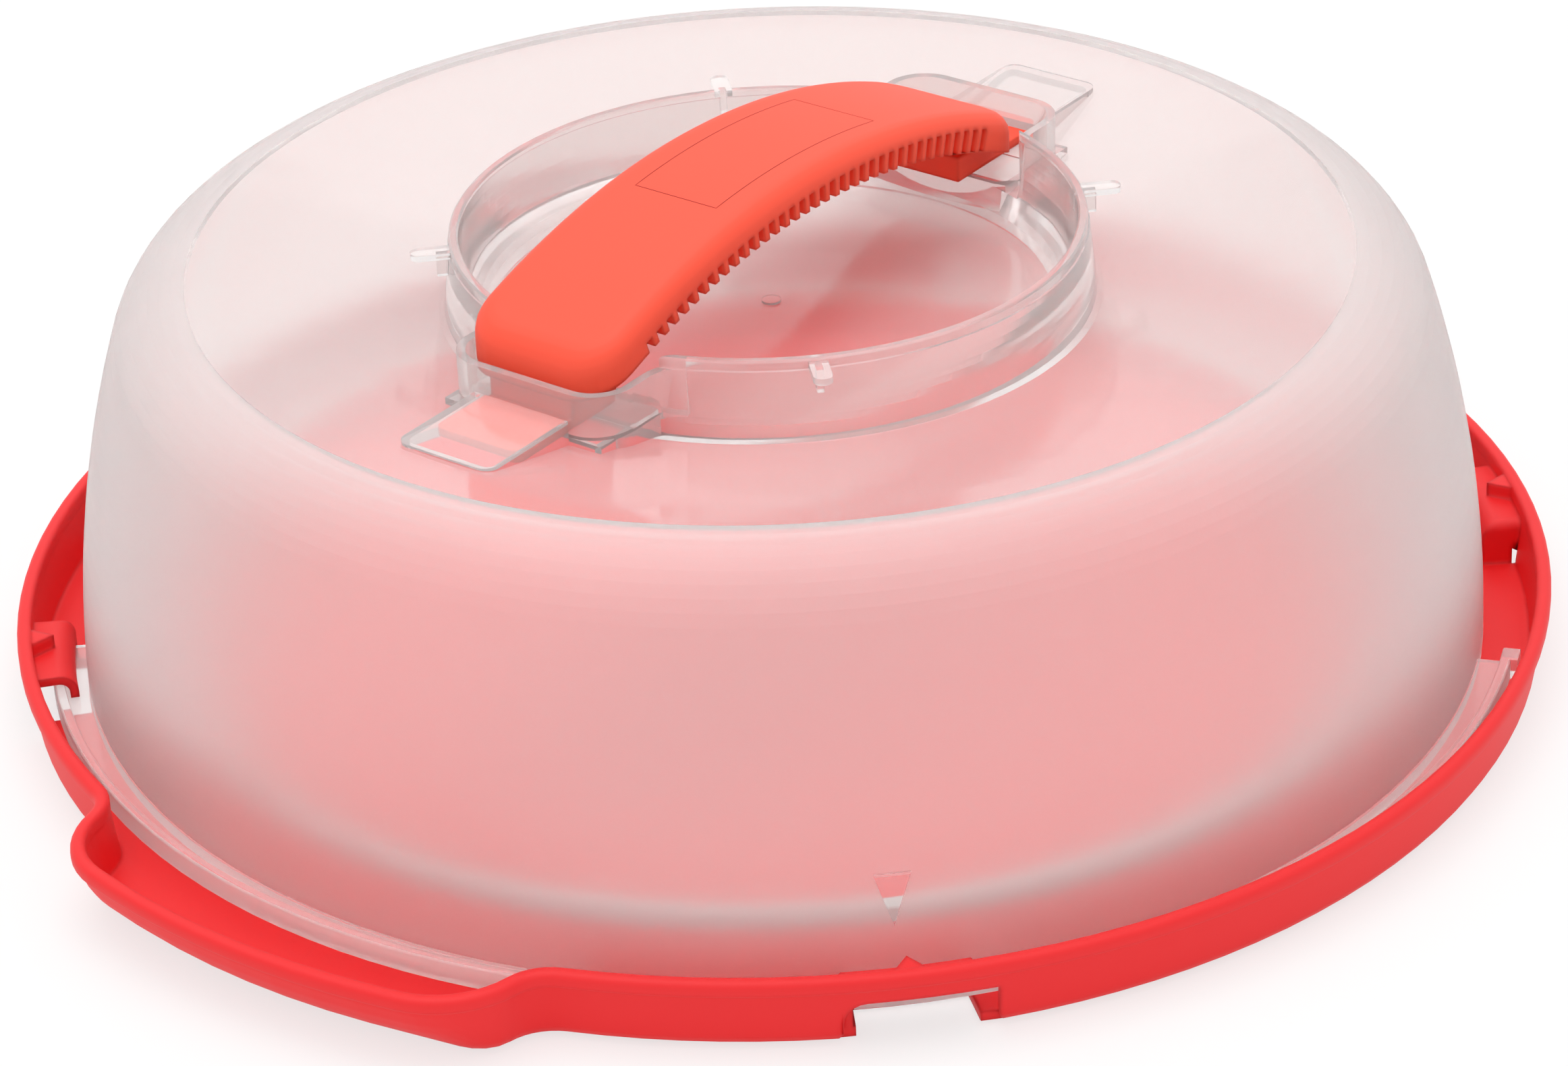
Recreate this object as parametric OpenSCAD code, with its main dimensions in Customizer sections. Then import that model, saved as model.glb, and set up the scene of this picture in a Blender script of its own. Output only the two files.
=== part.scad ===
// Round cake carrier with a twist-lock lid: a tray with two lifting ears, a clear dome with
// a raised handle ring, and a bowed carrying handle whose tongues slide under the lid's top.
// Millimetres, +Z up, the ears and the handle lie along X, the tray rests on z = 0.

/* [Tray] */
// Radius of the tray at its rim
rim_r = 160; // [145:0.5:180]
// Height of the tray's rim above the surface it rests on
rim_z = 15.7; // [14.5:0.1:20]
// Thickness of the tray's wall
wall_t = 1.8; // [1.4:0.1:1.9]
// Thickness of the tray's floor
floor_t = 2.2; // [1.6:0.1:2.8]
// How far the tray's wall leans in from the rim to the bottom
wall_lean = 1.8; // [0.5:0.1:2.5]
// Rounding under the tray's wall
foot_round = 3; // [1:0.1:4]
// Width of the rolled rim, seen from above
bead_w = 3; // [2.9:0.1:4]
// Height of the rolled rim
bead_h = 3; // [2:0.1:5]
// How far the rolled rim stands out from the wall
bead_out = 0.7; // [0.2:0.1:1.2]

/* [Ears] */
// How far the lifting ears stand out from the rim
ear_out = 15.5; // [12:0.5:24]
// Half the width of an ear
ear_half = 54; // [40:1:70]
// Radius of an ear's corners, seen from above
ear_corner = 20; // [12:1:26]
// Radius of the hollow between an ear and the rim
ear_fillet = 8; // [5:0.5:12]
// Rounding under an ear's long edge, where the fingers go
ear_round = 13.4; // [6:0.1:14]

/* [Bayonet] */
// Number of bayonet tabs in the tray, with as many tracks on the lid
tab_count = 4; // [2:1:6]
// Half the angle that one tab spans
tab_half = 4.7; // [3:0.1:7]
// How far a tab reaches in from the rim
tab_reach = 11.3; // [9:0.1:13]
// Height of a tab's top
tab_z = 12; // [11.5:0.1:13]
// Thickness of a tab's plate
tab_t = 1.8; // [1.4:0.1:2.2]
// Length of the hooked lip that hangs from a tab
tab_lip = 5.3; // [4:0.1:5.6]
// Angle that one track of the lid's flange spans
track_turn = 71; // [40:1:72]
// Thickness of the lid's flange
flange_t = 1.3; // [1:0.1:1.6]
// Height of the top of the flange's lip
lip_z = 9.5; // [8.5:0.1:9.7]
// Thickness of the flange's lip
lip_t = 2.2; // [1.4:0.1:2.4]

/* [Lid] */
// Outer radius of the dome at its foot
dome_r = 146.4; // [140:0.2:148]
// Height of the crease round the dome's top
crease_z = 88.6; // [75:0.2:110]
// Radius of the crease round the dome's top
crease_r = 118.6; // [105:0.2:124]
// Radius of the curve that the dome's wall bows out by
wall_bow = 238; // [200:1:400]
// Radius of the dome's shoulder
shoulder_bow = 18.5; // [16:0.5:40]
// Thickness of the dome's wall
dome_t = 1.8; // [1.4:0.1:2.4]
// Gap between the dome's foot and the tray's floor
foot_gap = 0.3; // [0.2:0.1:0.8]
// Angle at which the dome's top dips towards its middle
top_dip = 11; // [6:0.5:12]

/* [Handle ring] */
// Outer radius of the ring at its top
ring_r = 64.8; // [58:0.2:70]
// Height of the ring's top over the crease
ring_rise = 5.9; // [3:0.1:9]
// Depth from the ring's top to the floor of the well inside it
well_depth = 19.3; // [16:0.1:24]
// Radius of the well's floor
well_r = 57.5; // [50:0.5:58.5]
// Number of stacking lugs round the ring
lug_count = 4; // [2:1:8]
// How far the lugs reach out from the ring
lug_out = 8; // [5:0.5:12]
// Width of a lug
lug_w = 3.8; // [2.6:0.1:6]

/* [Handle] */
// Width of the handle
handle_w = 36; // [28:0.5:40]
// Radius of the handle's arch, along its top
arch_r = 178; // [165:1:230]
// Thickness of the handle's strap
strap_t = 8; // [6:0.2:9]
// Height of the handle's crown over the ring's top
crown_rise = 17.3; // [15:0.1:24]
// How far the arch's crown sits off the handle's middle
crown_off = 3.6; // [0:0.1:5]
// Radius of the handle's corners, seen from above
handle_corner = 9.5; // [6:0.5:12]
// Rounding of the handle's top edges
edge_round = 4; // [2:0.2:4.4]
// Distance from one grip notch to the next
notch_pitch = 3.5; // [3:0.1:5]
// Share of the pitch that a notch takes up
notch_share = 0.55; // [0.4:0.05:0.6]
// Depth of a grip notch
notch_depth = 2; // [1:0.1:2.6]
// Height of the ribbed lower part of the handle's sides
notch_h = 3.7; // [2:0.1:4.4]
// How far the handle can slide along the ring
handle_travel = 10.5; // [4:0.5:14]
// Gap between the handle's end and the pocket at the end of its travel
end_gap = 1; // [0.6:0.1:2]
// Gap between the handle's side and the pocket
side_gap = 0.7; // [0.4:0.1:1.5]
// Distance from the middle to the pocket's end wall, inside
pocket_end = 78.5; // [76:0.5:84]
// Drop of the pocket's end wall below the ring's top
pocket_drop = 2.2; // [0:0.1:4]
// Width of the tongue at each end of the handle
tongue_w = 20; // [14:0.5:24]
// Length of a tongue beyond the handle's end
tongue_len = 17; // [14:0.5:20]
// Thickness of a tongue
tongue_t = 1.7; // [1.4:0.1:2]
// Gap over, under and beside a tongue
tongue_gap = 0.3; // [0.3:0.1:0.6]
// Length of the cover over each tongue, outside the pocket
cover_len = 24; // [22:0.5:28]
// Thickness of that cover
cover_t = 1.2; // [1:0.1:1.6]

/* [Pointer] */
// Azimuth of the lock pointer moulded into the dome's wall
pointer_at = 224.6; // [220:0.1:230]
// Width of the pointer along its top
pointer_w = 7; // [5:0.5:12]
// Height of the pointer
pointer_h = 10.5; // [6:0.5:16]
// Height of the pointer's tip above the table
pointer_z = 18; // [16:0.5:30]

/* [Hidden] */
$fn = 96;
tray_red = "#f5463a";
lid_clear = "#ead9d2";
handle_red = "#ff6a52";

// Fit between pieces that pass each other
fit = 0.3;
// A cut runs this far past the face that it opens
past = 1;

// ---- shared geometry -------------------------------------------------------------------

// A point at radius r and azimuth a
function polar(r, a) = [r * cos(a), r * sin(a)];
function azimuth(p) = atan2(p.y, p.x);

// Centre of the circle of radius r through p and q, on the left of the way from p to q
function arc_centre(p, q, r) =
    let (m = (p + q) / 2, h = (q - p) / 2, s = sqrt(r * r - h * h) / norm(h))
    m + s * [-h.y, h.x];

// Points on the arc about c from angle a to angle b, with both ends
function arc_points(c, r, a, b, steps) =
    [for (i = [0:steps]) c + polar(r, a + (b - a) * i / steps)];

// The arc from p to q that bows out to the right, moved in by t
function bow(p, q, r, t, steps) =
    let (c = arc_centre(p, q, r))
    arc_points(c, r - t, azimuth(p - c), azimuth(q - c), steps);

// Where the centre of a circle lies that touches circle ra about O and circle rc about c
function touching(c, rc, ra) =
    let (d = norm(c), x = (ra * ra - rc * rc + d * d) / (2 * d), y = sqrt(ra * ra - x * x))
    c * x / d + [-c.y, c.x] * y / d;

function reverse(list) = [for (i = [len(list) - 1:-1:0]) list[i]];

// Inset of a bottom edge of radius rho at height z
function under(rho, z) = z < rho ? rho - sqrt(rho * rho - (rho - z) * (rho - z)) : 0;

// A copy at each end of X and at each side of Y
module four_ways() {
    for (mx = [0, 1])
        for (my = [0, 1])
            mirror([mx, 0, 0]) mirror([0, my, 0]) children();
}

module two_ends() {
    for (mx = [0, 1])
        mirror([mx, 0, 0]) children();
}

// A box given by its lowest and highest corners
module block(lo, hi) {
    translate(lo) cube(hi - lo);
}

// A bar along X with both corners at its far end rounded, seen from above
module round_end_bar(x0, x1, half, r, z0, z1) {
    translate([0, 0, z0])
        linear_extrude(z1 - z0)
            round_end_shape(x0, x1, half, r);
}

module round_end_shape(x0, x1, half, r) {
    translate([x0, -half]) square([x1 - x0 - r, 2 * half]);
    translate([x0, r - half]) square([x1 - x0, 2 * (half - r)]);
    for (side = [-1, 1])
        translate([x1 - r, side * (half - r)]) circle(r);
}

// A full turn or a part of one about Z, from azimuth a to azimuth b
module sweep(a, b) {
    rotate([0, 0, a]) rotate_extrude(angle = b - a) children();
}

// ---- tray ------------------------------------------------------------------------------

ear_r = rim_r + ear_out;
corner_c = [sqrt(pow(ear_r - ear_corner, 2) - pow(ear_half - ear_corner, 2)), ear_half - ear_corner];
fillet_c = touching(corner_c, ear_corner + ear_fillet, rim_r + ear_fillet);
corner_from = azimuth(corner_c);
corner_to = azimuth(fillet_c - corner_c);
fillet_at = azimuth(fillet_c);
wall_levels = 8;
outer_inset = bead_out;
inner_inset = bead_out + wall_t;

function lean(z) = wall_lean * max(0, 1 - z / rim_z);
// Inset of the wall's outside and inside from the rim's outline at height z
function out_at(z) = outer_inset + lean(z) + under(foot_round, z);
function in_at(z) = inner_inset + lean(z);
// Inset along an ear's long edge, outside and inside
function ear_out_at(z) = outer_inset + lean(z) + under(ear_round, z);
function ear_in_at(z) = inner_inset + lean(z) + under(ear_round - wall_t, max(0, z - floor_t));
// The wall ends inside the rolled rim
wall_top = rim_z - bead_h / 2;
// Heights that crowd towards the bottom, from z0 to the top of the wall
function levels(z0) = [for (i = [0:wall_levels]) z0 + (wall_top - z0) * (1 - cos(90 * i / wall_levels))];

// Half the outline of an ear at inset (long edge) and inset (side), as a list of points
function ear_side(long, side) =
    [for (i = [0:9])
        let (a = corner_from + (90 - corner_from) * i / 9,
             w = pow(cos(min(90, 90 * (a - corner_from) / (corner_to - corner_from))), 2))
        corner_c + polar(ear_corner - side - (long - side) * w, a)];
function ear_outline(long, side) =
    let (half = ear_side(long, side),
         tip = arc_points([0, 0], ear_r - long, -corner_from, corner_from, 8))
    concat([[rim_r - 20, -ear_half + side]], [for (p = reverse(half)) [p.x, -p.y]],
           [for (i = [1:7]) tip[i]], half, [[rim_r - 20, ear_half - side]]);

module ear_body() {
    hull()
        for (z = levels(0))
            translate([0, 0, z]) linear_extrude(0.01) polygon(ear_outline(ear_out_at(z), out_at(z)));
}

module ear_hollow() {
    hull()
        for (z = concat(levels(floor_t), [rim_z + past]))
            translate([0, 0, z]) linear_extrude(0.01) polygon(ear_outline(ear_in_at(z), in_at(z)));
}

// The web that fills the hollow between ear and rim, cut back to the fillet at inset(z)
module ear_web(z0, z1, insets) {
    difference() {
        translate([0, 0, z0])
            linear_extrude(z1 - z0)
                polygon([corner_c, fillet_c, fillet_c * (rim_r - 20) / norm(fillet_c)]);
        translate(fillet_c)
            rotate_extrude()
                polygon(concat([[0, z0 - past]], insets, [[0, z1 + past]]));
    }
}

function web_profile(z0, z1, zs, outside) =
    concat([[ear_fillet + (outside ? out_at(z0) : in_at(z0)), z0 - past]],
           [for (z = zs) [ear_fillet + (outside ? out_at(z) : in_at(z)), z]],
           [[ear_fillet + (outside ? out_at(z1) : in_at(z1)), z1 + past]]);

module tray_body() {
    rotate_extrude()
        polygon(concat([[0, 0]], [for (z = levels(0)) [rim_r - out_at(z), z]], [[0, wall_top]]));
    two_ends() ear_body();
    four_ways() ear_web(0, wall_top, web_profile(0, wall_top, levels(0), true));
}

module tray_hollow() {
    rotate_extrude()
        polygon([[0, floor_t], [rim_r - in_at(floor_t), floor_t], [rim_r - in_at(rim_z), rim_z],
                 [rim_r - in_at(rim_z), rim_z + past], [0, rim_z + past]]);
    two_ends() ear_hollow();
    four_ways() ear_web(floor_t, rim_z + past, web_profile(floor_t, rim_z + past, [floor_t, rim_z], false));
}

// Section of the rolled rim, with its outer edge at x = 0 and its top at y = 0
bead_round = bead_w * 0.45;
bead_edge = bead_w * 0.25;
bead_low = bead_out * 0.6;
bead_points = concat([[-bead_w, -bead_h]],
    arc_points([-bead_low, bead_low - bead_h], bead_low, -90, 0, 2),
    arc_points([-bead_round, -bead_round], bead_round, 0, 90, 5),
    arc_points([bead_edge - bead_w, -bead_edge], bead_edge, 90, 180, 3));

// One arc of the rolled rim about centre c; side is -1 where the tray lies outside the arc
module bead_arc(c, r, from, to, side) {
    translate([c.x, c.y, rim_z])
        sweep(from, to)
            translate([r, 0]) polygon([for (p = bead_points) [side * p.x, p.y]]);
}

module ear_bead() {
    bead_arc([0, 0], ear_r, -corner_from, corner_from, 1);
}

module side_bead() {
    rotate([0, 0, 90]) bead_arc([0, 0], rim_r, fillet_at - 90, 90 - fillet_at, 1);
}

module corner_bead() {
    bead_arc(corner_c, ear_corner, corner_from, corner_to, 1);
}

module fillet_bead() {
    bead_arc(fillet_c, ear_fillet, fillet_at + 180, corner_to + 180, -1);
}

// Bayonet: every tab stands at the middle of its own share of the turn
tab_step = 360 / tab_count;
tab_first = tab_step / 2;
tab_in = rim_r - tab_reach;
tab_bend = 4;
stop_turn = 0.75;
arrow_half = 3.5;
arrow_len = 5;
arrow_rise = 3;
window_in = tab_in - 2.2;
window_gap = 0.2;
notch_top = lip_z - 0.1;
notch_turn = tab_half + 1.2;

module each_tab() {
    for (i = [0:tab_count - 1])
        rotate([0, 0, tab_first + i * tab_step]) children();
}

// Section of a tab: a plate from the wall with a lip bent down at its inner end
module tab_section() {
    outer = rim_r - inner_inset + wall_t / 2;
    difference() {
        union() {
            translate([tab_in + tab_bend, tab_z - tab_lip]) square([outer - tab_in - tab_bend, tab_lip]);
            translate([tab_in, tab_z - tab_lip]) square([outer - tab_in, tab_lip - tab_bend]);
            intersection() {
                translate([tab_in + tab_bend, tab_z - tab_bend]) circle(tab_bend);
                translate([tab_in, tab_z - tab_lip]) square([outer - tab_in, tab_lip]);
            }
        }
        translate([tab_in + tab_bend, tab_z - tab_lip - past])
            square([outer - tab_in, tab_lip + past - tab_t]);
        translate([tab_in + lip_w, tab_z - tab_lip - past])
            square([outer - tab_in, tab_lip + past - tab_bend]);
        translate([tab_in + tab_bend, tab_z - tab_bend]) circle(tab_bend - tab_t);
    }
}

lip_w = tab_t;

// The wall that closes a tab at its clockwise end and stops the lid
module stop_section() {
    outer = rim_r - inner_inset + wall_t / 2;
    translate([tab_in, floor_t / 2]) square([outer - tab_in, tab_z - tab_bend - floor_t / 2]);
    translate([tab_in + tab_bend, floor_t / 2]) square([outer - tab_in - tab_bend, tab_z - floor_t / 2]);
    translate([tab_in + tab_bend, tab_z - tab_bend]) circle(tab_bend);
}

module tab() {
    difference() {
        union() {
            sweep(-tab_half, tab_half) tab_section();
            sweep(-tab_half, stop_turn - tab_half) stop_section();
        }
        // rounded edge over the closed end
        rotate([0, 0, -tab_half])
            translate([0, 0, tab_z - tab_bend])
                difference() {
                    block([tab_in - past, -past, 0], [rim_r - inner_inset, tab_bend / 2, tab_bend + past]);
                    translate([tab_in - 2 * past, tab_bend / 2, tab_bend / 2])
                        rotate([0, 90, 0]) cylinder(h = tab_reach + 3 * past, r = tab_bend / 2);
                    block([tab_in - 2 * past, -2 * past, -past], [rim_r, tab_bend, tab_bend / 2]);
                }
    }
    base = rim_r - bead_w + 0.4;
    translate([0, 0, tab_z - tab_t / 2])
        linear_extrude(arrow_rise + tab_t / 2)
            polygon([[base, -arrow_half], [base - arrow_len, 0], [base, arrow_half]]);
}

// Opening in the floor under a tab, where the mould reached it
module tab_window() {
    window_out = rim_r - in_at(0) + 1.2;
    sweep(stop_turn + window_gap - tab_half, tab_half + window_gap)
        translate([window_in, -past]) square([window_out - window_in, floor_t + 2 * past]);
}

// Opening in the wall under a tab, seen from outside: one top corner is well rounded, and
// both feet of the wall beside it flare out
notch_corner = 4.5;
notch_flare = 3;
notch_from = -rim_r * sin(tab_half - 0.1);
notch_to = rim_r * sin(notch_turn);
notch_points = concat(
    [[notch_from - notch_flare, -past]],
    arc_points([notch_from - notch_flare, notch_flare], notch_flare, -90, 0, 4),
    arc_points([notch_from + notch_corner, notch_top - notch_corner], notch_corner, 180, 90, 5),
    [[notch_to, notch_top]],
    arc_points([notch_to + notch_flare, notch_flare], notch_flare, 180, 270, 4),
    [[notch_to + notch_flare, -past]]);

module tab_notch() {
    rotate([90, 0, 90])
        translate([0, 0, rim_r - in_at(0) - 1])
            linear_extrude(2 * wall_t + 3 * past) polygon(notch_points);
}

module base_tray() {
    color(tray_red)
        difference() {
            union() {
                difference() {
                    tray_body();
                    tray_hollow();
                }
                two_ends() ear_bead();
                for (side = [0, 180]) rotate([0, 0, side]) side_bead();
                four_ways() corner_bead();
                four_ways() fillet_bead();
                each_tab() tab();
            }
            each_tab() tab_window();
            each_tab() tab_notch();
        }
}

// ---- lid -------------------------------------------------------------------------------

foot_z = floor_t + foot_gap;
wall_foot = [dome_r, foot_z + 1.5];
shoulder = [dome_r - 11.9, crease_z - 12.6];
crease = [crease_r, crease_z];
ring_z = crease_z + ring_rise;
ring_draft = 1.7;
ring_t = dome_t;
ring_foot = [ring_r + ring_draft, crease_z - (crease_r - ring_r - ring_draft) * tan(top_dip)];
well_z = ring_z - well_depth;
under_dip = dome_t / cos(top_dip);
ring_step = 2;
well_bow = 40;
ring_in = ring_r - ring_t - 0.2;

// The outside of the lid from its foot to the ring's top
function dome_outside() =
    concat([[dome_r, foot_z]], bow(wall_foot, shoulder, wall_bow, 0, 16),
           bow(shoulder, crease, shoulder_bow, 0, 8),
           [ring_foot, [ring_r + 0.3, ring_z - ring_step - 0.2], [ring_r, ring_z - ring_step],
            [ring_r, ring_z - 0.4], [ring_r - 0.4, ring_z]]);

// The inside of the lid, from its foot to the middle under the well
function dome_inside() =
    concat([[dome_r - dome_t, foot_z - past]], bow(wall_foot, shoulder, wall_bow, dome_t, 16),
           bow(shoulder, crease, shoulder_bow, dome_t, 8),
           [[ring_foot.x + 1.5, ring_foot.y + 1.5 * tan(top_dip) - under_dip],
            [well_r + 0.5, well_z - dome_t], [0, well_z - dome_t]]);

// The well inside the ring, open at the top
function well_section() =
    concat([[0, well_z], [well_r, well_z]],
           bow([well_r, well_z], [ring_in, ring_z - 1], well_bow, 0, 10),
           [[ring_in, ring_z - 0.4], [ring_in + 0.4, ring_z], [ring_in + 0.4, ring_z + past],
            [0, ring_z + past]]);

// Pocket at each end of the handle: a U of wall that runs into the ring
pocket_in = handle_w / 2 + side_gap;
pocket_out = pocket_in + dome_t;
pocket_z = ring_z - pocket_drop;
pocket_corner = 9;
pocket_fillet = 6;
end_out = pocket_end + dome_t;
shelf_from = 58.5;
shelf_z = well_z + 7.8;
shelf_t = 1.6;
shelf_step_x = pocket_end - 8;
shelf_chamfer = 3;
tongue_z = shelf_z + tongue_gap;
cover_z = tongue_z + tongue_t + tongue_gap + cover_t;
cover_half = tongue_w / 2 + tongue_gap + cover_t;
cover_corner = 3;

// Outline of ring and pocket together, with the hollow between them rounded off;
// r is the ring's radius, half and far the pocket's, f the fillet's
module pocket_shape(r, half, far, corner, f) {
    q = [sqrt(pow(r + f, 2) - pow(half + f, 2)), half + f];
    round_end_shape(0, far, half, corner);
    for (my = [0, 1])
        mirror([0, my])
            difference() {
                polygon([[0, 0], [q.x, 0], q, [0, 0]]);
                translate(q) circle(f);
            }
}

module pocket_body() {
    translate([0, 0, ring_foot.y - dome_t])
        linear_extrude(pocket_z - ring_foot.y + dome_t)
            pocket_shape(ring_r, pocket_out, end_out, pocket_corner, pocket_fillet);
}

// The room inside a pocket, over its shelf
module pocket_room() {
    translate([0, 0, shelf_z - shelf_t])
        linear_extrude(ring_z - shelf_z + shelf_t + past)
            pocket_shape(ring_in, pocket_in, pocket_end, pocket_corner - dome_t,
                         pocket_fillet + dome_t);
}

// The shelf that the tongue lies on, with a front wall down to the well
module shelf() {
    front = pocket_in - shelf_chamfer;
    outline = [[shelf_from, -front], [shelf_from + shelf_chamfer, -pocket_in - 0.6],
               [end_out, -pocket_in - 0.6], [end_out, pocket_in + 0.6],
               [shelf_from + shelf_chamfer, pocket_in + 0.6], [shelf_from, front]];
    difference() {
        translate([0, 0, well_z - dome_t / 2])
            linear_extrude(shelf_z - well_z + dome_t / 2) polygon(outline);
        block([shelf_from - past, -pocket_out, shelf_z - tongue_gap],
              [shelf_step_x, pocket_out, shelf_z + past]);
    }
}

// The space under a shelf, open to the inside of the lid
module shelf_hollow() {
    block([shelf_from + dome_t, -pocket_in + dome_t, well_z - 2 * dome_t],
          [pocket_end, pocket_in - dome_t, shelf_z - shelf_t]);
}

// Cover over a tongue, outside the pocket, and the tunnel under it
module cover_body() {
    round_end_bar(pocket_end, pocket_end + dome_t + cover_len, cover_half, cover_corner,
                  ring_foot.y, cover_z);
}

module tunnel() {
    half = tongue_w / 2 + tongue_gap;
    low = ring_foot.y - dome_t - past;
    block([shelf_step_x + 2, -half, shelf_z], [pocket_end + dome_t, half, cover_z - cover_t]);
    round_end_bar(pocket_end, pocket_end + cover_len, half, cover_corner - cover_t, low,
                  cover_z - cover_t);
}

module ring_lug() {
    thick = 1.4;
    rise = 0.5;
    translate([0, 0, ring_z - thick - rise])
        round_end_bar(ring_in + ring_t / 2, ring_r + lug_out, lug_w / 2, lug_w / 2 - 0.1, 0, thick);
    // web that carries the lug
    block([ring_in + ring_t / 2, -0.7, ring_z - 6], [ring_r + lug_out * 0.35, 0.7, ring_z - thick]);
}

// One flange track with its lip and, at its far end, the lug that clicks behind the tab
module track() {
    from = stop_turn - tab_half + 0.15;
    to = from + track_turn;
    lip_in = tab_in + lip_w + 0.9;
    flange_z = foot_z + 2.5;
    lug_turn = 1.7;
    sweep(from, to) {
        translate([dome_r - dome_t / 2, flange_z])
            square([lip_in + lip_t - dome_r + dome_t / 2, flange_t]);
        translate([lip_in, flange_z]) square([lip_t, lip_z - flange_z - 0.5]);
        translate([lip_in + 0.5, flange_z]) square([lip_t - 1, lip_z - flange_z]);
        for (x = [lip_in + 0.5, lip_in + lip_t - 0.5])
            translate([x, lip_z - 0.5]) circle(0.5);
    }
    sweep(to - lug_turn, to)
        translate([lip_in + lip_t / 2, flange_z]) square([lip_t / 2 + 1.4, lip_z - flange_z]);
}

// Lock pointer: a raised triangle that stands 0.35 mm off the wall
module pointer() {
    raise = 0.35;
    low = pointer_z - past;
    high = pointer_z + pointer_h + past;
    rotate([0, 0, pointer_at])
        intersection() {
            sweep(-6, 6)
                intersection() {
                    polygon(concat(bow(wall_foot, shoulder, wall_bow, -raise, 16),
                                   reverse(bow(wall_foot, shoulder, wall_bow, dome_t / 2, 16))));
                    translate([0, low]) square([2 * dome_r, high - low]);
                }
            rotate([90, 0, 90])
                linear_extrude(dome_r + 10)
                    polygon([[0, pointer_z], [pointer_w / 2, pointer_z + pointer_h],
                             [-pointer_w / 2, pointer_z + pointer_h]]);
        }
}

module gate_mark() {
    translate([0, 0, well_z - dome_t / 2]) cylinder(h = dome_t / 2 + 0.5, r = 2);
}

module dome_lid() {
    color(lid_clear)
        difference() {
            union() {
                difference() {
                    union() {
                        rotate_extrude()
                            polygon(concat([[0, foot_z]], dome_outside(), [[0, ring_z]]));
                        two_ends() pocket_body();
                        each_lug() ring_lug();
                    }
                    rotate_extrude() polygon(well_section());
                    two_ends() pocket_room();
                }
                two_ends() shelf();
                two_ends() cover_body();
                gate_mark();
            }
            rotate_extrude() polygon(concat([[0, foot_z - past]], dome_inside()));
            two_ends() shelf_hollow();
            two_ends() tunnel();
        }
    color(lid_clear) each_tab() track();
    color(lid_clear) pointer();
}

module each_lug() {
    for (i = [0:lug_count - 1])
        rotate([0, 0, (i + 0.5) * 360 / lug_count]) children();
}

// ---- handle ----------------------------------------------------------------------------

// The handle is drawn where it was left, against the end wall at -X
handle_half = pocket_end - end_gap - handle_travel / 2;
handle_mid = -handle_travel / 2;
crown_x = handle_mid - crown_off;
crown_z = ring_z + crown_rise;
arch_c = [crown_x, crown_z - arch_r];
strap_in_r = arch_r - strap_t;
side_steps = 30;

function arch_z(x) = arch_c.y + sqrt(pow(arch_r, 2) - pow(x - arch_c.x, 2));

// One quarter of the handle's plan at an inset, from the end's middle to the long side's middle
function plan_quarter(i) =
    concat([[handle_half - i, 0]],
           arc_points([handle_half - handle_corner, handle_w / 2 - handle_corner],
                      handle_corner - i, 0, 90, 8),
           [for (k = [1:side_steps])
               [(handle_half - handle_corner) * (1 - k / side_steps), handle_w / 2 - i]]);
function plan_points(i) =
    [for (p = plan_quarter(i)) for (sx = [-1, 1]) for (sy = [-1, 1]) [p.x * sx, p.y * sy]];

// The rounded block that the strap is cut from: levels of its plan, bent over the arch
module handle_blank() {
    depths = [for (k = [0:4]) edge_round * (1 - cos(90 * k / 4))];
    points = [for (d = concat(depths, [handle_drop]))
        let (inset = d < edge_round ? edge_round - sqrt(pow(edge_round, 2) - pow(edge_round - d, 2)) : 0)
        for (p = plan_points(inset)) [p.x + handle_mid, p.y, arch_z(p.x + handle_mid) - d]];
    hull()
        polyhedron(points = points, faces = [for (i = [0:3:len(points) - 3]) [i, i + 1, i + 2]]);
}

handle_drop = strap_t + 1;

// Notches along both long edges, square to the arch
module grip_notches() {
    pitch_turn = notch_pitch / arch_r * 180 / PI;
    count = 2 * floor((handle_half - handle_corner * 0.7) / notch_pitch) - 1;
    wide = notch_pitch * notch_share;
    deep = handle_w / 2 - notch_depth;
    for (i = [0:count - 1])
        translate([arch_c.x + crown_off, 0, arch_c.y])
            rotate([0, (i - (count - 1) / 2) * pitch_turn, 0])
                for (side = [-1, 1])
                    translate([-wide / 2, side * (deep + handle_w / 2) - handle_w / 2, strap_in_r - past])
                        cube([wide, handle_w, notch_h + past]);
}

// Foot under each end of the strap, with the tongue that slides under the lid's top
module tongue(side) {
    end = handle_mid + side * handle_half;
    tip = end + side * tongue_len;
    inner = end - side * 14;
    translate([end, 0, 0])
        rotate([0, 0, side < 0 ? 180 : 0])
            round_end_bar(-14, tongue_len, tongue_w / 2, 2, tongue_z, tongue_z + tongue_t);
    block([min(inner, end - side), -tongue_w / 2, tongue_z],
          [max(inner, end - side), tongue_w / 2, arch_z(end) - strap_t + 2]);
}

module carry_handle() {
    color(handle_red)
        difference() {
            union() {
                difference() {
                    handle_blank();
                    translate([arch_c.x, handle_w, arch_c.y])
                        rotate([90, 0, 0]) cylinder(h = 2 * handle_w, r = strap_in_r, $fn = 360);
                }
                for (side = [-1, 1]) tongue(side);
            }
            grip_notches();
        }
}

base_tray();
dome_lid();
carry_handle();
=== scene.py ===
"""Looks of the cake carrier: a red polypropylene tray and handle, and a natural polypropylene dome.

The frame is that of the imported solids: +Z up, the ears and the handle along X, the tray's underside
at Z 0. Sizes are written in millimetres and turned to Blender's metres by MM.
"""

import math

import bpy
from mathutils import Matrix, Vector


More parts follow.
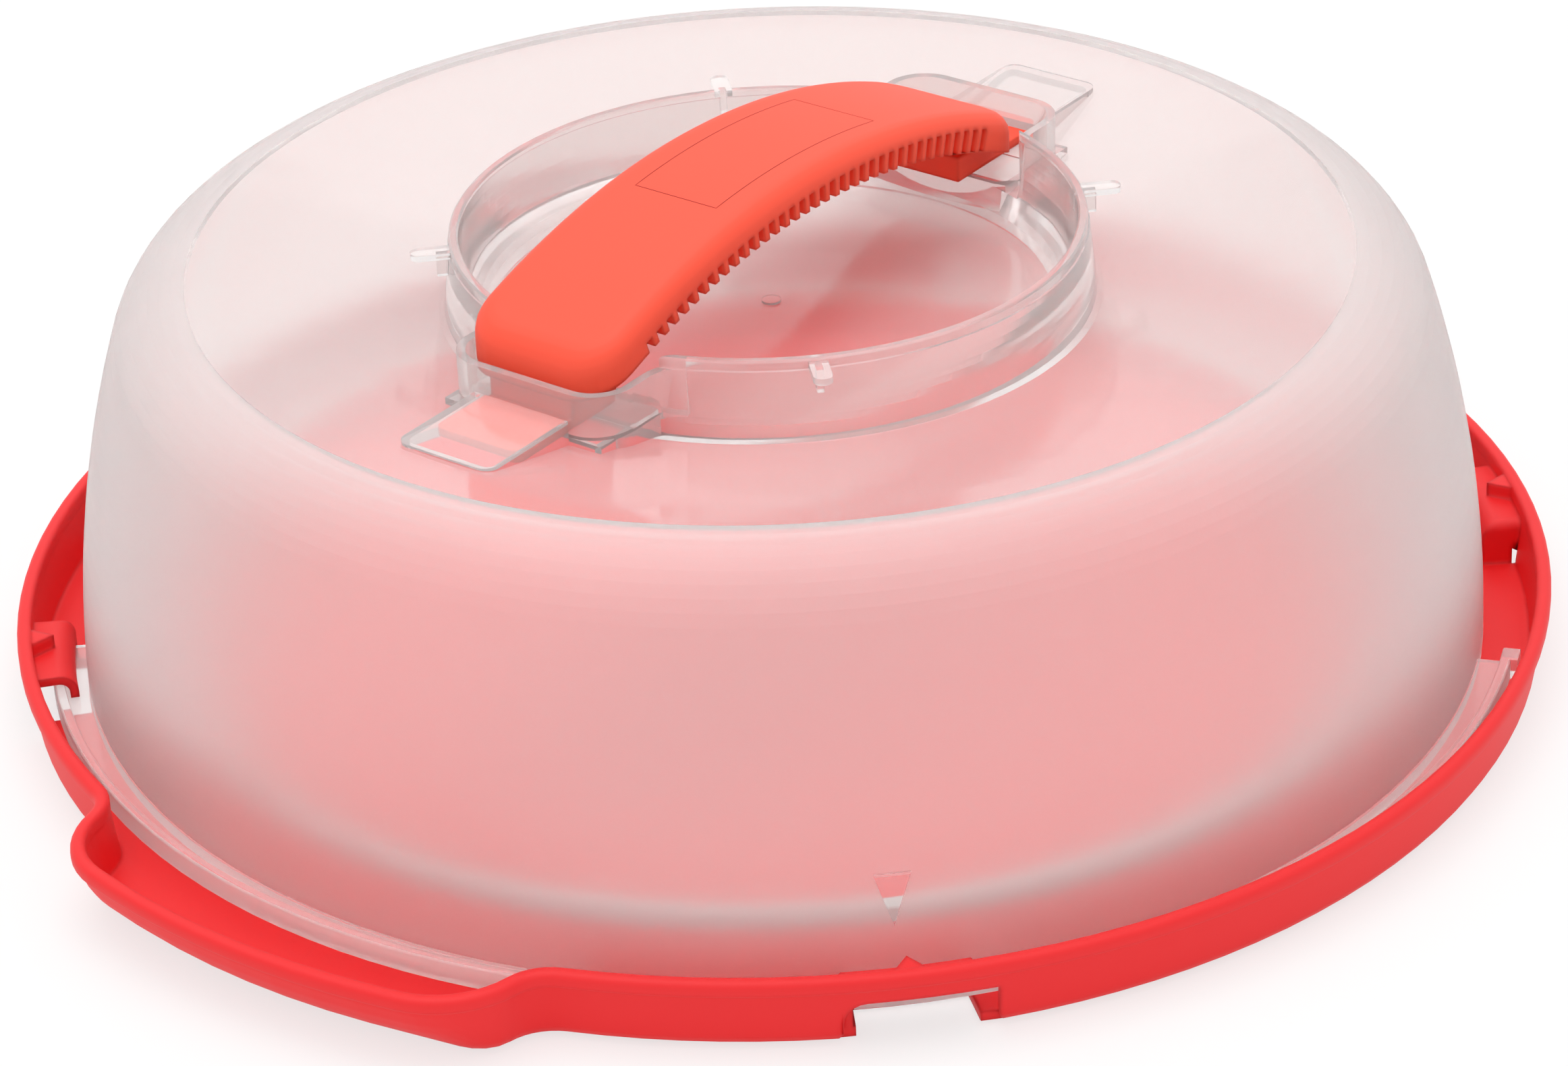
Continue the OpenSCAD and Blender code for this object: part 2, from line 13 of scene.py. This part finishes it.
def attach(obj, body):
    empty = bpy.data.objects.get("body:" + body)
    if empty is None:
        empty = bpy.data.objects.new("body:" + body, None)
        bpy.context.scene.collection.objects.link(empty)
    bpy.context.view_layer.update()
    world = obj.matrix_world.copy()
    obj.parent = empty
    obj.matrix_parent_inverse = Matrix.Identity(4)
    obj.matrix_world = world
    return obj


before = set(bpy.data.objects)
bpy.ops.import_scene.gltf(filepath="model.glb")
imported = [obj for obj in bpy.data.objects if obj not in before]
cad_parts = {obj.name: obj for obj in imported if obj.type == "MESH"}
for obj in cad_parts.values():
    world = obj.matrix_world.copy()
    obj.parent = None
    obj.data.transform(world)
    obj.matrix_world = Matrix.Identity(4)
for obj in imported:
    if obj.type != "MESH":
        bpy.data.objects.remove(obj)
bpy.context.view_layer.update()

MM = 0.001

# ---- camera ---------------------------------------------------------------------------------

# The photograph's width and its lens, both in pixels, and the sensor that they are carried to
PHOTO_WIDTH = 2324
FOCAL_PIXELS = 7424
SENSOR = 36.0
# Where the photograph was taken from, and the point of the carrier that it is centred on
CAMERA_DISTANCE = 1050
CAMERA_ELEVATION = math.radians(29.07)
CAMERA_TURN = math.radians(-52.5)
CAMERA_ROLL = math.radians(-2.36)
AIM = (0.62, 0, 20.87)
CLIP_END = 20000

# ---- mouldings ------------------------------------------------------------------------------

# The two close tones that each red moulding drifts between
TRAY_REDS = ("#ea161b", "#ef1c20")
# The handle's pair is lighter and more orange than the tray's. That is painted light, for the bright light
# that falls on the handle's top.
HANDLE_REDS_PAINTED_LIGHTER = ("#fa4c30", "#fc5438")
LINE_REDS = ("#c92a18", "#cf2e1b")
# Width and depth of the spark-eroded grain. The real one is about 0.2 wide, too fine for the
# picture, so it is drawn coarser.
TRAY_GRAIN = (0.8, 0.03)
HANDLE_GRAIN = (0.6, 0.04)
LINE_GRAIN = (0.6, 0.02)
GRAIN_STRENGTH = 0.35
# How far the plastic's tone and gloss take to drift as it flowed into the mould
FLOW_LENGTH = 45
RED_ROUGHNESS = 0.55
ROUGHNESS_DRIFT = 0.04
POLYPROPYLENE_IOR = 1.49
# Radius to which light rounds the mouldings' edges
EDGE_SOFTNESS = 1.6
EDGE_SAMPLES = 6

NATURAL_WHITE = "#fdfbfa"
# What a lamp's light keeps of its colour at each surface of the dome
LAMP_TINT = "#f3f3f4"
FROSTED_ROUGHNESS = 0.5
POLISHED_ROUGHNESS = 0.1
FROSTED_CLEARNESS = 0.72
POLISHED_CLEARNESS = 0.8
# Lower than the plastic's own, so that both skins of the dome mirror as little as the real thin wall
THIN_WALL_IOR = 1.35
# The frosting's grit is about 0.2 wide on the real mould, and is drawn coarser to show
FROST_GRIT = 0.9
FROST_DEPTH = 0.05
FROST_STRENGTH = 0.15
# Slow waves that the melt leaves as it flows out from the gate in the middle
WAVE_LENGTH = 22
WAVE_DEPTH = 0.6
WAVE_STRENGTH = 0.3
# The crease round the dome's top, where the frosting ends, and how far a frosted face leans outward
CREASE_R = 118.6
LEAST_OUTWARD = 0.1
# The polished V on the front of the wall, which points down at the closing mark
POINTER_TURN = math.radians(224.6)
POINTER_TIP_Z = 17.4
POINTER_TOP_Z = 28
POINTER_WIDTH = 7

# The floor ring's cap is a dull pale grey. It stands for a soft grey arc that shows through the frosted
# wall, and what makes that arc is not known.
RING_CAP_GREYS = ("#c3c9c7", "#d0d5d3")
RING_CAP_GRAIN = (0.7, 0.05)
RING_CAP_GRAIN_STRENGTH = 0.4
RING_CAP_ROUGHNESS = 0.7
RING_CAP_IOR = 1.5

# ---- pieces that the solids leave to the scene -----------------------------------------------

# The ring round the tray's floor: a red step that slopes up from the floor, with a grey cap on it
CAP_IN_R = 128
CAP_OUT_R = 131.7
CAP_TOP_Z = 12.5
CAP_EDGE = 0.3
STEP_TOP_R = 132.1
STEP_TOP_Z = 9.5
STEP_FOOT_R = 143
STEP_FOOT_Z = 2.8
# Just under the tray's floor, which it is moulded with
RING_SUNK_Z = 2
RING_STEPS = 240
SHARP_EDGE = math.radians(35)

# The plain field on the handle's top, and the thin line round it, of which a sliver stands proud
FIELD_FROM_X = -29.5
FIELD_TO_X = 23.5
FIELD_HALF = 10
FIELD_STEPS = 24
LINE_R = 0.2
LINE_SUNK = 0.15
ABOVE_HANDLE = 1000

# ---- studio ---------------------------------------------------------------------------------

TABLE_HALF = 3000
# A hair under the tray's foot, so that the two faces don't fight
TABLE_Z = -0.5
TABLE_WHITE = "#f6f5f4"
# How much of the table is plain white to the lens. The rest keeps the carrier's shadow.
TABLE_WHITE_SHARE = 0.7
# Light from the even white room
ROOM_LIGHT = 0.85
# Each softbox: its name, its place and width in metres, and its power in watts
SOFTBOXES = (
    ("overhead_softbox", (-0.1, 0.1, 1.5), 1.3, 9),
    ("back_softbox", (0.9, 0.7, 1.5), 1.2, 2.5),
)


def put(name, data):
    """An object of that name and data in the scene."""
    item = bpy.data.objects.new(name, data)
    bpy.context.scene.collection.objects.link(item)
    return item


def place_camera():
    """A long lens, a metre away, turned a little on its own axis as the photograph is."""
    lens = bpy.data.cameras.new("camera")
    lens.sensor_width = SENSOR
    lens.lens = SENSOR * FOCAL_PIXELS / PHOTO_WIDTH
    lens.clip_end = CLIP_END * MM
    camera = put("camera", lens)
    back = Vector((0, -math.cos(CAMERA_ELEVATION), math.sin(CAMERA_ELEVATION)))
    level_right = Vector((1, 0, 0))
    level_up = back.cross(level_right)
    right = math.cos(CAMERA_ROLL) * level_right + math.sin(CAMERA_ROLL) * level_up
    up = -math.sin(CAMERA_ROLL) * level_right + math.cos(CAMERA_ROLL) * level_up
    pose = Matrix((right, up, back)).transposed().to_4x4()
    pose.translation = (Vector(AIM) + back * CAMERA_DISTANCE) * MM
    camera.matrix_world = Matrix.Rotation(CAMERA_TURN, 4, "Z") @ pose
    bpy.context.scene.camera = camera


def linear(hex_colour):
    """An sRGB hex colour as linear RGBA."""
    parts = [int(hex_colour[i : i + 2], 16) / 255 for i in (1, 3, 5)]
    return [p / 12.92 if p <= 0.04045 else ((p + 0.055) / 1.055) ** 2.4 for p in parts] + [1.0]


def add_node(material, kind, inputs=None, **settings):
    """Adds a node. Each of its inputs, by name or number, takes a value or another node's output."""
    node = material.node_tree.nodes.new(kind)
    for name, value in settings.items():
        setattr(node, name, value)
    for name, source in (inputs or {}).items():
        if isinstance(source, bpy.types.NodeSocket):
            material.node_tree.links.new(source, node.inputs[name])
        else:
            node.inputs[name].default_value = source
    return node


def new_material(name):
    """An empty material of that name."""
    material = bpy.data.materials.new(name)
    material.use_nodes = True
    material.node_tree.nodes.clear()
    return material


def red_polypropylene(name, reds, grain):
    """Moulded polypropylene in coral red: a soft satin light on a fine spark-eroded grain, with
    rounded edges and a tone and gloss that drift a little as the plastic flowed."""
    grain_width, grain_depth = grain
    material = new_material(name)
    place = add_node(material, "ShaderNodeTexCoord").outputs["Object"]
    eroded = add_node(
        material, "ShaderNodeTexNoise",
        {"Vector": place, "Scale": 1 / (grain_width * MM), "Detail": 3.0, "Roughness": 0.6},
    )
    flow = add_node(
        material, "ShaderNodeTexNoise",
        {"Vector": place, "Scale": 1 / (FLOW_LENGTH * MM), "Detail": 2.0},
    )
    tone = add_node(material, "ShaderNodeValToRGB", {"Fac": flow.outputs["Fac"]})
    for end, red in zip(tone.color_ramp.elements, reds):
        end.color = linear(red)
    gloss = add_node(
        material, "ShaderNodeMapRange",
        {"Value": flow.outputs["Fac"],
         "To Min": RED_ROUGHNESS - ROUGHNESS_DRIFT, "To Max": RED_ROUGHNESS + ROUGHNESS_DRIFT},
    )
    rounded = add_node(
        material, "ShaderNodeBevel", {"Radius": EDGE_SOFTNESS * MM}, samples=EDGE_SAMPLES,
    )
    bump = add_node(
        material, "ShaderNodeBump",
        {"Height": eroded.outputs["Fac"], "Normal": rounded.outputs["Normal"],
         "Strength": GRAIN_STRENGTH, "Distance": grain_depth * MM},
    )
    plastic = add_node(
        material, "ShaderNodeBsdfPrincipled",
        {"Base Color": tone.outputs["Color"], "Roughness": gloss.outputs["Result"],
         "Normal": bump.outputs["Normal"], "IOR": POLYPROPYLENE_IOR},
    )
    add_node(material, "ShaderNodeOutputMaterial", {"Surface": plastic.outputs["BSDF"]})
    return material


def natural_polypropylene():
    """Uncoloured polypropylene: a milky veil over what is behind it. The mould was frosted for the
    outside of the wall, which blurs what stands back from it, and polished everywhere else."""
    material = new_material("natural_polypropylene_moulded")
    place = add_node(material, "ShaderNodeTexCoord").outputs["Object"]
    frosted = minus_pointer(material, outer_wall(material), place)
    roughness = add_node(
        material, "ShaderNodeMapRange",
        {"Value": frosted, "To Min": POLISHED_ROUGHNESS, "To Max": FROSTED_ROUGHNESS},
    )
    clearness = add_node(
        material, "ShaderNodeMapRange",
        {"Value": frosted, "To Min": POLISHED_CLEARNESS, "To Max": FROSTED_CLEARNESS},
    )
    frost = add_node(
        material, "ShaderNodeTexNoise",
        {"Vector": place, "Scale": 1 / (FROST_GRIT * MM), "Detail": 3.0, "Roughness": 0.65},
    )
    grit = add_node(material, "ShaderNodeMath", {0: frost.outputs["Fac"], 1: frosted}, operation="MULTIPLY")
    waves = add_node(
        material, "ShaderNodeTexNoise",
        {"Vector": place, "Scale": 1 / (WAVE_LENGTH * MM), "Detail": 1.0},
    )
    rolling = add_node(
        material, "ShaderNodeBump",
        {"Height": waves.outputs["Fac"], "Strength": WAVE_STRENGTH, "Distance": WAVE_DEPTH * MM},
    )
    bump = add_node(
        material, "ShaderNodeBump",
        {"Height": grit.outputs[0], "Normal": rolling.outputs["Normal"],
         "Strength": FROST_STRENGTH, "Distance": FROST_DEPTH * MM},
    )
    plastic = add_node(
        material, "ShaderNodeBsdfPrincipled",
        {"Base Color": linear(NATURAL_WHITE), "Roughness": roughness.outputs["Result"],
         "Normal": bump.outputs["Normal"], "Transmission Weight": clearness.outputs["Result"],
         "IOR": THIN_WALL_IOR},
    )
    path = add_node(material, "ShaderNodeLightPath")
    lets_lamps_in = add_node(material, "ShaderNodeBsdfTransparent", {"Color": linear(LAMP_TINT)})
    mix = add_node(
        material, "ShaderNodeMixShader",
        {0: path.outputs["Is Shadow Ray"], 1: plastic.outputs["BSDF"], 2: lets_lamps_in.outputs["BSDF"]},
    )
    add_node(material, "ShaderNodeOutputMaterial", {"Surface": mix.outputs["Shader"]})
    return material


def outer_wall(material):
    """1 on the outside of the dome's wall, from its foot to the crease, and 0 elsewhere."""
    surface = add_node(material, "ShaderNodeNewGeometry")
    level = add_node(
        material, "ShaderNodeVectorMath", {0: surface.outputs["Position"], 1: (1, 1, 0)},
        operation="MULTIPLY",
    )
    radius = add_node(material, "ShaderNodeVectorMath", {0: level.outputs["Vector"]}, operation="LENGTH")
    outward = add_node(material, "ShaderNodeVectorMath", {0: level.outputs["Vector"]}, operation="NORMALIZE")
    facing = add_node(
        material, "ShaderNodeVectorMath", {0: outward.outputs["Vector"], 1: surface.outputs["Normal"]},
        operation="DOT_PRODUCT",
    )
    # the normal of a face met from behind comes turned round, so it is turned back
    turn = add_node(
        material, "ShaderNodeMapRange",
        {"Value": surface.outputs["Backfacing"], "To Min": 1.0, "To Max": -1.0},
    )
    true_facing = add_node(
        material, "ShaderNodeMath", {0: facing.outputs["Value"], 1: turn.outputs["Result"]},
        operation="MULTIPLY",
    )
    outside = add_node(
        material, "ShaderNodeMath", {0: true_facing.outputs[0], 1: LEAST_OUTWARD}, operation="GREATER_THAN",
    )
    beyond = add_node(
        material, "ShaderNodeMath", {0: radius.outputs["Value"], 1: CREASE_R * MM}, operation="GREATER_THAN",
    )
    wall = add_node(
        material, "ShaderNodeMath", {0: outside.outputs[0], 1: beyond.outputs[0]}, operation="MULTIPLY",
    )
    return wall.outputs[0]


def minus_pointer(material, frosted, place):
    """Takes the polished V out of the frosting. It is found in the lid's own frame, so it turns with it."""
    front = (math.cos(POINTER_TURN), math.sin(POINTER_TURN), 0)
    side = (-math.sin(POINTER_TURN), math.cos(POINTER_TURN), 0)
    forward = add_node(material, "ShaderNodeVectorMath", {0: place, 1: front}, operation="DOT_PRODUCT")
    across = add_node(material, "ShaderNodeVectorMath", {0: place, 1: side}, operation="DOT_PRODUCT")
    aside = add_node(material, "ShaderNodeMath", {0: across.outputs["Value"]}, operation="ABSOLUTE")
    height = add_node(material, "ShaderNodeSeparateXYZ", {"Vector": place}).outputs["Z"]
    half_width = add_node(
        material, "ShaderNodeMapRange",
        {"Value": height, "From Min": POINTER_TIP_Z * MM, "From Max": POINTER_TOP_Z * MM,
         "To Min": 0.0, "To Max": POINTER_WIDTH / 2 * MM},
    )
    inside = add_node(
        material, "ShaderNodeMath", {0: half_width.outputs["Result"], 1: aside.outputs[0]},
        operation="GREATER_THAN",
    )
    below_top = add_node(
        material, "ShaderNodeMath", {0: height, 1: POINTER_TOP_Z * MM}, operation="LESS_THAN",
    )
    in_front = add_node(
        material, "ShaderNodeMath", {0: forward.outputs["Value"], 1: 0.0}, operation="GREATER_THAN",
    )
    mark = inside.outputs[0]
    for test in (below_top, in_front):
        both = add_node(material, "ShaderNodeMath", {0: mark, 1: test.outputs[0]}, operation="MULTIPLY")
        mark = both.outputs[0]
    left = add_node(material, "ShaderNodeMath", {0: frosted, 1: mark}, operation="SUBTRACT", use_clamp=True)
    return left.outputs[0]


def grey_ring_cap():
    """A dull pale grey on a fine grain, matt, laid on the cap of the floor ring."""
    grain_width, grain_depth = RING_CAP_GRAIN
    material = new_material("grey_ring_cap_surface")
    place = add_node(material, "ShaderNodeTexCoord").outputs["Object"]
    grain = add_node(
        material, "ShaderNodeTexNoise", {"Vector": place, "Scale": 1 / (grain_width * MM), "Detail": 3.0},
    )
    tone = add_node(material, "ShaderNodeValToRGB", {"Fac": grain.outputs["Fac"]})
    for end, grey in zip(tone.color_ramp.elements, RING_CAP_GREYS):
        end.color = linear(grey)
    bump = add_node(
        material, "ShaderNodeBump",
        {"Height": grain.outputs["Fac"], "Strength": RING_CAP_GRAIN_STRENGTH, "Distance": grain_depth * MM},
    )
    cap_shader = add_node(
        material, "ShaderNodeBsdfPrincipled",
        {"Base Color": tone.outputs["Color"], "Normal": bump.outputs["Normal"],
         "Roughness": RING_CAP_ROUGHNESS, "IOR": RING_CAP_IOR},
    )
    add_node(material, "ShaderNodeOutputMaterial", {"Surface": cap_shader.outputs["BSDF"]})
    return material


def pale_laminate():
    """Matt laminate of a studio table: white to the lens and wherever the carrier mirrors it or lets
    it through, with the carrier's soft shadow left on it."""
    material = new_material("pale_table")
    matt = add_node(material, "ShaderNodeBsdfDiffuse", {"Color": linear(TABLE_WHITE)})
    white = add_node(material, "ShaderNodeEmission", {"Color": linear("#ffffff"), "Strength": 1.0})
    share = add_node(
        material, "ShaderNodeMath", {0: seen_directly(material), 1: TABLE_WHITE_SHARE}, operation="MULTIPLY",
    )
    mix = add_node(
        material, "ShaderNodeMixShader",
        {0: share.outputs[0], 1: matt.outputs["BSDF"], 2: white.outputs["Emission"]},
    )
    add_node(material, "ShaderNodeOutputMaterial", {"Surface": mix.outputs["Shader"]})
    return material


def seen_directly(material):
    """1 for rays from the lens, a mirror image or through the dome, 0 for those that carry light."""
    path = add_node(material, "ShaderNodeLightPath")
    seen = path.outputs["Is Camera Ray"]
    for kind in ("Is Glossy Ray", "Is Transmission Ray"):
        either = add_node(material, "ShaderNodeMath", {0: seen, 1: path.outputs[kind]}, operation="MAXIMUM")
        seen = either.outputs[0]
    return seen


def dress(node, material):
    """Puts one material on a solid."""
    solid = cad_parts[node]
    solid.data.materials.clear()
    solid.data.materials.append(material)


def ring_section():
    """The floor ring's section as radius and height, up its inner side and down the outer."""
    return (
        (CAP_IN_R, RING_SUNK_Z), (CAP_IN_R, CAP_TOP_Z - CAP_EDGE), (CAP_IN_R + CAP_EDGE, CAP_TOP_Z),
        (CAP_OUT_R - CAP_EDGE, CAP_TOP_Z), (CAP_OUT_R, CAP_TOP_Z - CAP_EDGE), (STEP_TOP_R, STEP_TOP_Z),
        (STEP_FOOT_R, STEP_FOOT_Z), (STEP_FOOT_R, RING_SUNK_Z),
    )


def floor_ring(step_red, cap_grey):
    """The low ring on the tray's floor that shows through the frosted wall as a soft grey arc."""
    section = ring_section()
    count = len(section)
    corners = []
    faces = []
    for k in range(RING_STEPS):
        turn = 2 * math.pi * k / RING_STEPS
        corners += [(r * MM * math.cos(turn), r * MM * math.sin(turn), z * MM) for r, z in section]
        here, following = k * count, (k + 1) % RING_STEPS * count
        for i in range(count):
            j = (i + 1) % count
            faces.append((here + i, here + j, following + j, following + i))
    mesh = bpy.data.meshes.new("floor_ring")
    mesh.from_pydata(corners, [], faces)
    mesh.polygons.foreach_set("use_smooth", [True] * len(faces))
    mesh.set_sharp_from_angle(angle=SHARP_EDGE)
    mesh.materials.append(cap_grey)
    mesh.materials.append(step_red)
    for face in mesh.polygons:
        face.material_index = 0 if face.center.z > STEP_TOP_Z * MM else 1
    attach(put("floor_ring", mesh), "tray")


def field_line(red):
    """The thin line round the plain field on the handle's top, laid on the strap's own curve."""
    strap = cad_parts["carry_handle"]
    corners = (
        (FIELD_FROM_X, -FIELD_HALF), (FIELD_TO_X, -FIELD_HALF),
        (FIELD_TO_X, FIELD_HALF), (FIELD_FROM_X, FIELD_HALF),
    )
    points = []
    for start, end in zip(corners, corners[1:] + corners[:1]):
        for k in range(FIELD_STEPS):
            x, y = (a + (b - a) * k / FIELD_STEPS for a, b in zip(start, end))
            _, at, _, _ = strap.ray_cast((x * MM, y * MM, ABOVE_HANDLE * MM), (0, 0, -1))
            points += (at.x, at.y, at.z - LINE_SUNK * MM, 1)
    curve = bpy.data.curves.new("handle_field_line", "CURVE")
    curve.dimensions = "3D"
    curve.bevel_depth = LINE_R * MM
    curve.bevel_resolution = 2
    spline = curve.splines.new("POLY")
    spline.points.add(len(corners) * FIELD_STEPS - 1)
    spline.points.foreach_set("co", points)
    spline.use_cyclic_u = True
    curve.materials.append(red)
    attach(put("handle_field_line", curve), "handle")


def table():
    """The flat table that the carrier stands on."""
    mesh = bpy.data.meshes.new("table")
    half = TABLE_HALF * MM
    corners = [(-half, -half, 0), (half, -half, 0), (half, half, 0), (-half, half, 0)]
    mesh.from_pydata(corners, [], [(0, 1, 2, 3)])
    mesh.materials.append(pale_laminate())
    top = put("table", mesh)
    top.location.z = TABLE_Z * MM


def room():
    """The even white room round the table."""
    world = bpy.data.worlds.new("studio")
    bpy.context.scene.world = world
    world.use_nodes = True
    white = world.node_tree.nodes["Background"]
    white.inputs["Color"].default_value = linear("#ffffff")
    level = add_node(
        world, "ShaderNodeMapRange", {"Value": seen_directly(world), "To Min": ROOM_LIGHT, "To Max": 1.0},
    )
    world.node_tree.links.new(level.outputs["Result"], white.inputs["Strength"])


def softboxes():
    """A softbox overhead and a weak one behind the carrier, both turned towards it."""
    for name, at, width, power in SOFTBOXES:
        lamp = bpy.data.lights.new(name, "AREA")
        lamp.energy = power
        lamp.size = width
        box = put(name, lamp)
        box.location = at
        box.rotation_euler = (-Vector(at)).to_track_quat("-Z", "Y").to_euler()


place_camera()
tray_red = red_polypropylene("red_polypropylene_tray", TRAY_REDS, TRAY_GRAIN)
dress("base_tray", tray_red)
# the handle's red is lightened with painted light, for the bright light on its top
dress("carry_handle", red_polypropylene("red_polypropylene_handle_painted_lighter", HANDLE_REDS_PAINTED_LIGHTER, HANDLE_GRAIN))
dress("dome_lid", natural_polypropylene())
floor_ring(tray_red, grey_ring_cap())
field_line(red_polypropylene("red_polypropylene_line", LINE_REDS, LINE_GRAIN))
table()
room()
softboxes()
bpy.context.scene.view_settings.view_transform = "Standard"
